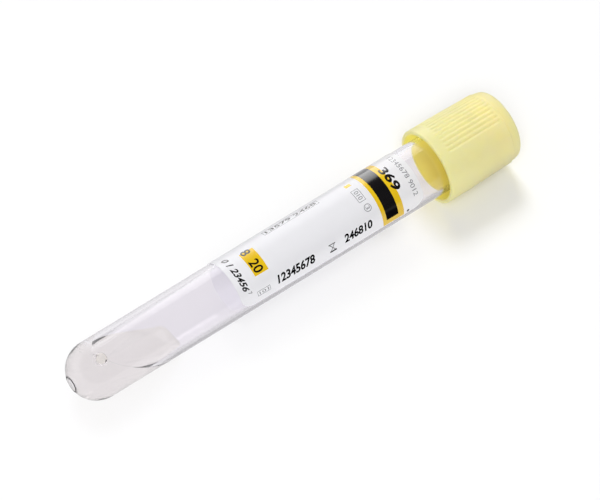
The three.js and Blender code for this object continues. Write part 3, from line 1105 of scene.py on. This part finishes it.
@dataclass
class Closure:
    """The cap with its grip grooves and inner bead, and the rubber stopper that it holds."""

    tube: ClearTube
    plastic: CapPlastic = field(default_factory=CapPlastic)
    rubber: StopperRubber = field(default_factory=StopperRubber)
    overlap: float = 11.85
    length: float = 19.05
    radius: float = 8.41
    skirt_bore: float = 7.4
    plate: float = 1.28
    hole: float = 3.8
    neck_from: float = 16.0
    neck_drop: float = 0.22
    bead_height: float = 1.4
    bead_clearance: float = 0.2
    head_radius: float = 7.0
    head_clearance: float = 0.05
    plug_length: float = 6.6
    plug_clearance: float = 0.04
    well_radius: float = 3.25
    well_depth: float = 3.1
    hollow_radius: float = 2.3
    hollow_depth: float = 3.4
    groove_pitch: float = 7.2  # degrees
    groove_count: int = 13
    groove_centre: float = -14.4
    groove_from: float = 2.5
    groove_to: float = 15.7
    groove_depth: float = 0.25
    groove_run: float = 0.6  # half the length of a groove's sloped end
    groove_steps: int = 16
    groove_share: float = 0.72  # width of a groove, as a share of the pitch
    groove_round: float = 1.3
    # The skirt's slow taper towards the neck: distances from the rim and drops below the widest radius.
    taper: tuple = ((8.4, 0.05), (10.6, 0.12), (12.8, 0.16))
    taper_foot: float = 0.22
    skirt_taper: float = 0.21  # drop that the neck's own step starts from
    rim_round: float = 0.25
    rim_angles: tuple = (0.0, 0.4, 0.8, 1.2, math.pi / 2)
    shoulder_angles: tuple = (0.2, 0.45, 0.7, 0.95, 1.2, 1.4, math.pi / 2)
    inner_band: float = 0.4  # points of the cap this close to its bore belong to its inside
    seat_gap: float = 0.03  # stopper's head to the tube's mouth
    waist_depth: float = 0.35
    facets: int = 400
    stopper_facets: int = 96

    @property
    def rim_x(self) -> float:
        """Where the cap's open rim is."""
        return self.tube.mouth_x - self.overlap

    @property
    def plate_x(self) -> float:
        """Where the underside of the cap's top is."""
        return self.rim_x + self.length - self.plate

    def outside(self) -> Profile:
        """Returns the cap's outer outline, from the rim to the needle hole's edge."""
        neck, cut, rim = self.skirt_taper + self.neck_drop, self.neck_from, self.rim_round
        run, steps = 2 * self.groove_run, self.groove_steps
        start, end = self.groove_from - run / 2, self.groove_to + run / 2
        (widest, drop), foot = self.taper[-1], self.taper_foot
        last = drop + (foot - drop) * (end - run - widest) / (cut - widest)
        shares = [i / steps for i in range(steps + 1)]
        drops = [
            *[(rim * (1 - math.cos(a)), rim * (1 - math.sin(a))) for a in self.rim_angles],
            *[(start + run * share, 0.0) for share in shares],
            (5.5, 0.0),
            *self.taper,
            *[(end - run * (1 - share), last + (foot - last) * share) for share in shares],
            (cut + 0.34, 0.23),
            (cut + 0.42, 0.27),
            (cut + 0.5, neck - 0.04),
            (cut + 0.62, neck),
            (17.4, neck + 0.05),
            (self.length - 1.3, neck + 0.14),
            *[
                (self.length - 1.2 + 1.2 * math.sin(a), neck + 0.15 + 1.5 * (1 - math.cos(a)))
                for a in self.shoulder_angles
            ],
        ]
        return [(self.rim_x + s, self.radius - drop) for s, drop in drops]

    def inside(self) -> Profile:
        """Returns the cap's inner outline, from the needle hole's edge back to the rim."""
        top = self.rim_x + self.length
        mouth = self.tube.mouth_x
        bead = self.tube.radius(mouth) + self.bead_clearance
        head_bore = self.head_radius + self.head_clearance
        return [
            (top, self.hole + 0.3),
            *arc(top - 0.3, self.hole + 0.3, 0.3, 0, -90, 5)[1:],
            (self.plate_x, self.hole),
            (self.plate_x, head_bore),
            (mouth - 0.02, head_bore),
            (mouth - 0.02, bead + 0.1),
            (mouth - 0.12, bead),
            (mouth - self.bead_height, bead),
            (mouth - self.bead_height - 0.8, self.skirt_bore - 0.05),
            (mouth - self.bead_height - 1.2, self.skirt_bore),
            (self.rim_x + 0.25, self.skirt_bore),
            (self.rim_x + 0.06, self.skirt_bore + 0.07),
            (self.rim_x, self.skirt_bore + 0.22),
        ]

    def groove(self, angle: float, s: float) -> float:
        """Gives how deep the grip is cut at a place on the cap.

        Args:
            angle: Degrees from the top, towards -Y.
            s: Distance from the rim.

        Returns:
            The depth in millimetres, 0 outside the two grip sectors.
        """
        run = self.groove_run
        window = smooth_step(s, self.groove_from - run, self.groove_from + run)
        window *= 1 - smooth_step(s, self.groove_to - run, self.groove_to + run)
        for centre in (self.groove_centre, self.groove_centre + 180):
            offset = (angle - centre + 180) % 360 - 180
            index = round(offset / self.groove_pitch)
            if abs(index) <= (self.groove_count - 1) / 2:
                share = abs(offset / self.groove_pitch - index) * 2 / self.groove_share
                arch = max(0.0, math.cos(math.pi / 2 * min(share, 1.0)))
                return self.groove_depth * window * arch**self.groove_round
        return 0.0

    def cap(self) -> Piece:
        """Builds the cap and cuts its grip grooves."""
        bm = lathe([*self.outside(), *self.inside()], self.facets, closed=True)
        for vert in bm.verts:
            x, y, z = vert.co
            radius = math.hypot(y, z)
            if radius < self.skirt_bore + self.inner_band:
                continue
            depth = self.groove(math.degrees(math.atan2(-y, z)), x - self.rim_x)
            vert.co.yz = (y * (1 - depth / radius), z * (1 - depth / radius))
        obj = as_object("cap_shell", bm, self.tube.axis, sharp=50)
        obj.data.materials.append(self.plastic.material(self.tube.axis, self.skirt_bore, self.plate_x))
        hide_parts("cap")
        return obj

    def stopper(self) -> Piece:
        """Builds the stopper: a head with a needle well, and a plug with sealing bands and a hollow."""
        seat = self.tube.mouth_x + self.seat_gap
        top = self.plate_x - self.head_clearance
        foot = seat - self.plug_length
        well, hollow = top - self.well_depth, foot + self.hollow_depth

        def band(x: float) -> float:
            return self.tube.bore(x) - self.plug_clearance

        waist = band(foot) - self.waist_depth
        profile = [
            (hollow, 0.0),
            (hollow - 0.1, self.hollow_radius - 1.2),
            (hollow - 0.5, self.hollow_radius - 0.5),
            (hollow - 1.2, self.hollow_radius - 0.1),
            (foot + 0.15, self.hollow_radius),
            (foot, self.hollow_radius + 0.15),
            (foot, band(foot) - 1.0),
            (foot + 0.15, band(foot) - 0.8),
            (foot + 1.0, band(foot + 1)),
            (foot + 2.0, band(foot + 2)),
            (foot + 2.35, waist + 0.05),
            (foot + 2.6, waist),
            (foot + 3.4, waist),
            (foot + 3.65, waist + 0.05),
            (foot + 4.0, band(foot + 4)),
            (seat - 0.5, band(seat - 0.5) - 0.02),
            (seat, band(seat) - 0.35),
            (seat, self.head_radius - 0.2),
            *arc(seat + 0.2, self.head_radius - 0.2, 0.2, 180, 90, 4)[1:],
            *arc(top - 0.45, self.head_radius - 0.45, 0.45, 90, 0, 6),
            (top, self.well_radius + 0.25),
            *arc(top - 0.25, self.well_radius + 0.25, 0.25, 0, -90, 4)[1:],
            *arc(well + 0.4, self.well_radius - 0.4, 0.4, 90, 180, 5),
            (well, 0.0),
        ]
        obj = as_object("rubber_stopper", lathe(profile, self.stopper_facets), self.tube.axis)
        obj.data.materials.append(self.rubber.material())
        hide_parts("stopper")
        return obj

    def build(self) -> list[Piece]:
        """Builds the cap and its stopper.

        Returns:
            Both pieces, riding on the closure's body.
        """
        pieces = [self.cap(), self.stopper()]
        for piece in pieces:
            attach(piece, Body.CLOSURE.value)
        return pieces


# ------------------------------------------------------------ stage


@dataclass(frozen=True)
class SoftLamp:
    """A rectangular soft lamp that faces the object."""

    name: str
    place: tuple[float, float, float]  # metres
    size: tuple[float, float]  # width and height in metres
    radiance: float  # how bright its face looks, where 1 is white
    for_shine: bool = False  # shows in shiny and clear pieces and leaves matte ones alone

    def hang(self) -> None:
        """Hangs the lamp."""
        light = bpy.data.lights.new(self.name, "AREA")
        light.shape, light.size, light.size_y = "RECTANGLE", *self.size
        light.energy = self.radiance * math.pi * self.size[0] * self.size[1]
        lamp = bpy.data.objects.new(self.name, light)
        lamp.location = self.place
        lamp.rotation_euler = (-Vector(self.place)).to_track_quat("-Z", "Y").to_euler()
        lamp.visible_camera = False
        lamp.visible_glossy = lamp.visible_transmission = self.for_shine
        lamp.visible_diffuse = not self.for_shine
        bpy.context.scene.collection.objects.link(lamp)


@dataclass
class Studio:
    """White table and surroundings, three soft lamps, and the camera."""

    axis: TubeAxis
    ambient: float = 0.43
    unlit: float = 0.03  # how bright the unlit front of the room looks in reflections
    unlit_through: float = 0.8  # the same through glass
    front: tuple[float, float, float] = (0.0, -0.447, 0.894)
    front_edge: tuple[float, float] = (0.12, 0.42)  # how squarely the front is looked at where it turns dark
    table_albedo: float = 0.9
    table_glow: float = 0.7  # share of plain white that evens the table out in reflections and through glass
    table_dimmed: float = 0.8  # how bright that white is
    table_radius: float = 3.0
    table_gap: float = 0.03  # millimetres below the object
    table_fade: tuple[float, float] = (0.14, 0.4)  # distances where it turns plain white, in metres
    lamps: tuple[SoftLamp, ...] = (
        SoftLamp("softbox_behind", (0.444, 0.783, 0.4), (0.4, 0.92), 1.9, for_shine=True),
        SoftLamp("key_above", (0.36, 0.73, 1.1), (0.45, 0.45), 12.3),
        SoftLamp("fill_by_camera", (-0.53, -0.7, 1.1), (0.6, 0.6), 8.7),
    )
    azimuth: float = -37.005
    elevation: float = 51.486
    distance: float = 0.58431
    lens: float = 180.0
    sensor: float = 36.0
    clip_start: float = 0.01
    aim: tuple[float, float, float] = (42.65, -9.36, 14.47)  # millimetres from the round end's centre

    def seen_directly(self, sheet: NodeSheet) -> Socket:
        """Returns 1 for rays that look at a thing, straight, mirrored or through glass, else 0."""
        path = sheet.add("ShaderNodeLightPath").outputs
        looks = sheet.math("MAXIMUM", path["Is Camera Ray"], path["Is Glossy Ray"])
        return sheet.math("MAXIMUM", looks, path["Is Transmission Ray"])

    def world(self) -> None:
        """Lights the object evenly from all round, and shows white behind it."""
        world = bpy.data.worlds.new("white_surroundings")
        world.use_nodes = True
        world.node_tree.nodes.clear()
        sheet = NodeSheet(world.node_tree)
        place = sheet.add("ShaderNodeTexCoord").outputs["Generated"]
        ahead = sheet.add("ShaderNodeVectorMath", {1: self.front}, operation="DOT_PRODUCT")
        sheet.join(place, ahead.inputs[0])
        lit, dark = self.front_edge
        room = sheet.ramp(ahead.outputs["Value"], (lit, 1.0), (dark, self.unlit))
        path = sheet.add("ShaderNodeLightPath").outputs
        room = sheet.math("MAXIMUM", room, sheet.product(path["Is Transmission Ray"], self.unlit_through))
        mirrored = sheet.math("MAXIMUM", path["Is Glossy Ray"], path["Is Transmission Ray"])
        shown = sheet.math("ADD", sheet.product(mirrored, room), sheet.math("SUBTRACT", 1.0, mirrored))
        share = self.seen_directly(sheet)
        plain = sheet.product(sheet.math("SUBTRACT", 1.0, share), self.ambient)
        strength = sheet.math("ADD", sheet.product(share, shown), plain)
        background = sheet.add("ShaderNodeBackground", {"Color": (1.0, 0.995, 1.0, 1)})
        sheet.join(strength, background.inputs["Strength"])
        sheet.join(background.outputs[0], sheet.add("ShaderNodeOutputWorld").inputs["Surface"])
        bpy.context.scene.world = world

    def table(self) -> None:
        """Lays a white table that keeps the object's shadow and fades to white far away."""
        bm = bmesh.new()
        bmesh.ops.create_circle(bm, cap_ends=True, segments=64, radius=self.table_radius)
        bmesh.ops.translate(bm, verts=bm.verts, vec=(0, 0, -self.table_gap * MM))
        mesh = bpy.data.meshes.new("table")
        bm.to_mesh(mesh)
        bm.free()
        table = bpy.data.objects.new("table", mesh)
        bpy.context.scene.collection.objects.link(table)
        material = bpy.data.materials.new("white_table")
        material.use_nodes = True
        material.node_tree.nodes.clear()
        sheet = NodeSheet(material.node_tree)
        matte = sheet.add("ShaderNodeBsdfDiffuse", {"Color": (self.table_albedo,) * 3 + (1,)}).outputs[0]
        white = {"Color": (0.99, 0.98, 1.0, 1), "Strength": self.table_dimmed}
        glow = sheet.add("ShaderNodeEmission", white).outputs[0]
        camera = sheet.add("ShaderNodeLightPath").outputs["Is Camera Ray"]
        looks = self.seen_directly(sheet)
        near = sheet.mix(sheet.product(sheet.math("SUBTRACT", looks, camera), self.table_glow), matte, glow)
        plain = sheet.add("ShaderNodeEmission")
        sheet.join(sheet.ramp(looks, (0, self.ambient), (1, 1)), plain.inputs["Strength"])
        away = sheet.length(sheet.add("ShaderNodeTexCoord").outputs["Object"])
        kept, gone = self.table_fade
        shown = sheet.mix(sheet.ramp(away, (kept, 0), (gone, 1)), near, plain.outputs[0])
        sheet.join(shown, sheet.add("ShaderNodeOutputMaterial").inputs["Surface"])
        table.data.materials.append(material)

    def camera(self) -> None:
        """Looks down at the tube from its near left."""
        a, e = math.radians(self.azimuth), math.radians(self.elevation)
        back = Vector((math.sin(a) * math.cos(e), -math.cos(a) * math.cos(e), math.sin(e)))
        data = bpy.data.cameras.new("camera")
        data.lens, data.sensor_width, data.clip_start = self.lens, self.sensor, self.clip_start
        camera = bpy.data.objects.new("camera", data)
        camera.location = self.axis.start + Vector(self.aim) * MM + back * self.distance
        camera.rotation_mode = "QUATERNION"
        camera.rotation_quaternion = (-back).to_track_quat("-Z", "Y")
        bpy.context.scene.collection.objects.link(camera)
        bpy.context.scene.camera = camera

    def build(self) -> None:
        """Sets the stage, the light and the camera."""
        bpy.context.scene.view_settings.view_transform = "Standard"
        self.world()
        self.table()
        for lamp in self.lamps:
            lamp.hang()
        self.camera()


def main() -> None:
    """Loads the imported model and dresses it."""
    logging.basicConfig(level=logging.INFO, format="%(name)s: %(message)s")
    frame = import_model()
    axis = TubeAxis.from_frame(frame)
    Studio(axis).build()
    tube = ClearTube(axis)
    pieces = [tube.build(), Additive(tube).build(), *Label(tube).build(), *Closure(tube).build()]
    for piece in pieces:
        log.info("%s: %d faces", piece.name, len(piece.data.polygons))


if __name__ == "__main__":
    main()
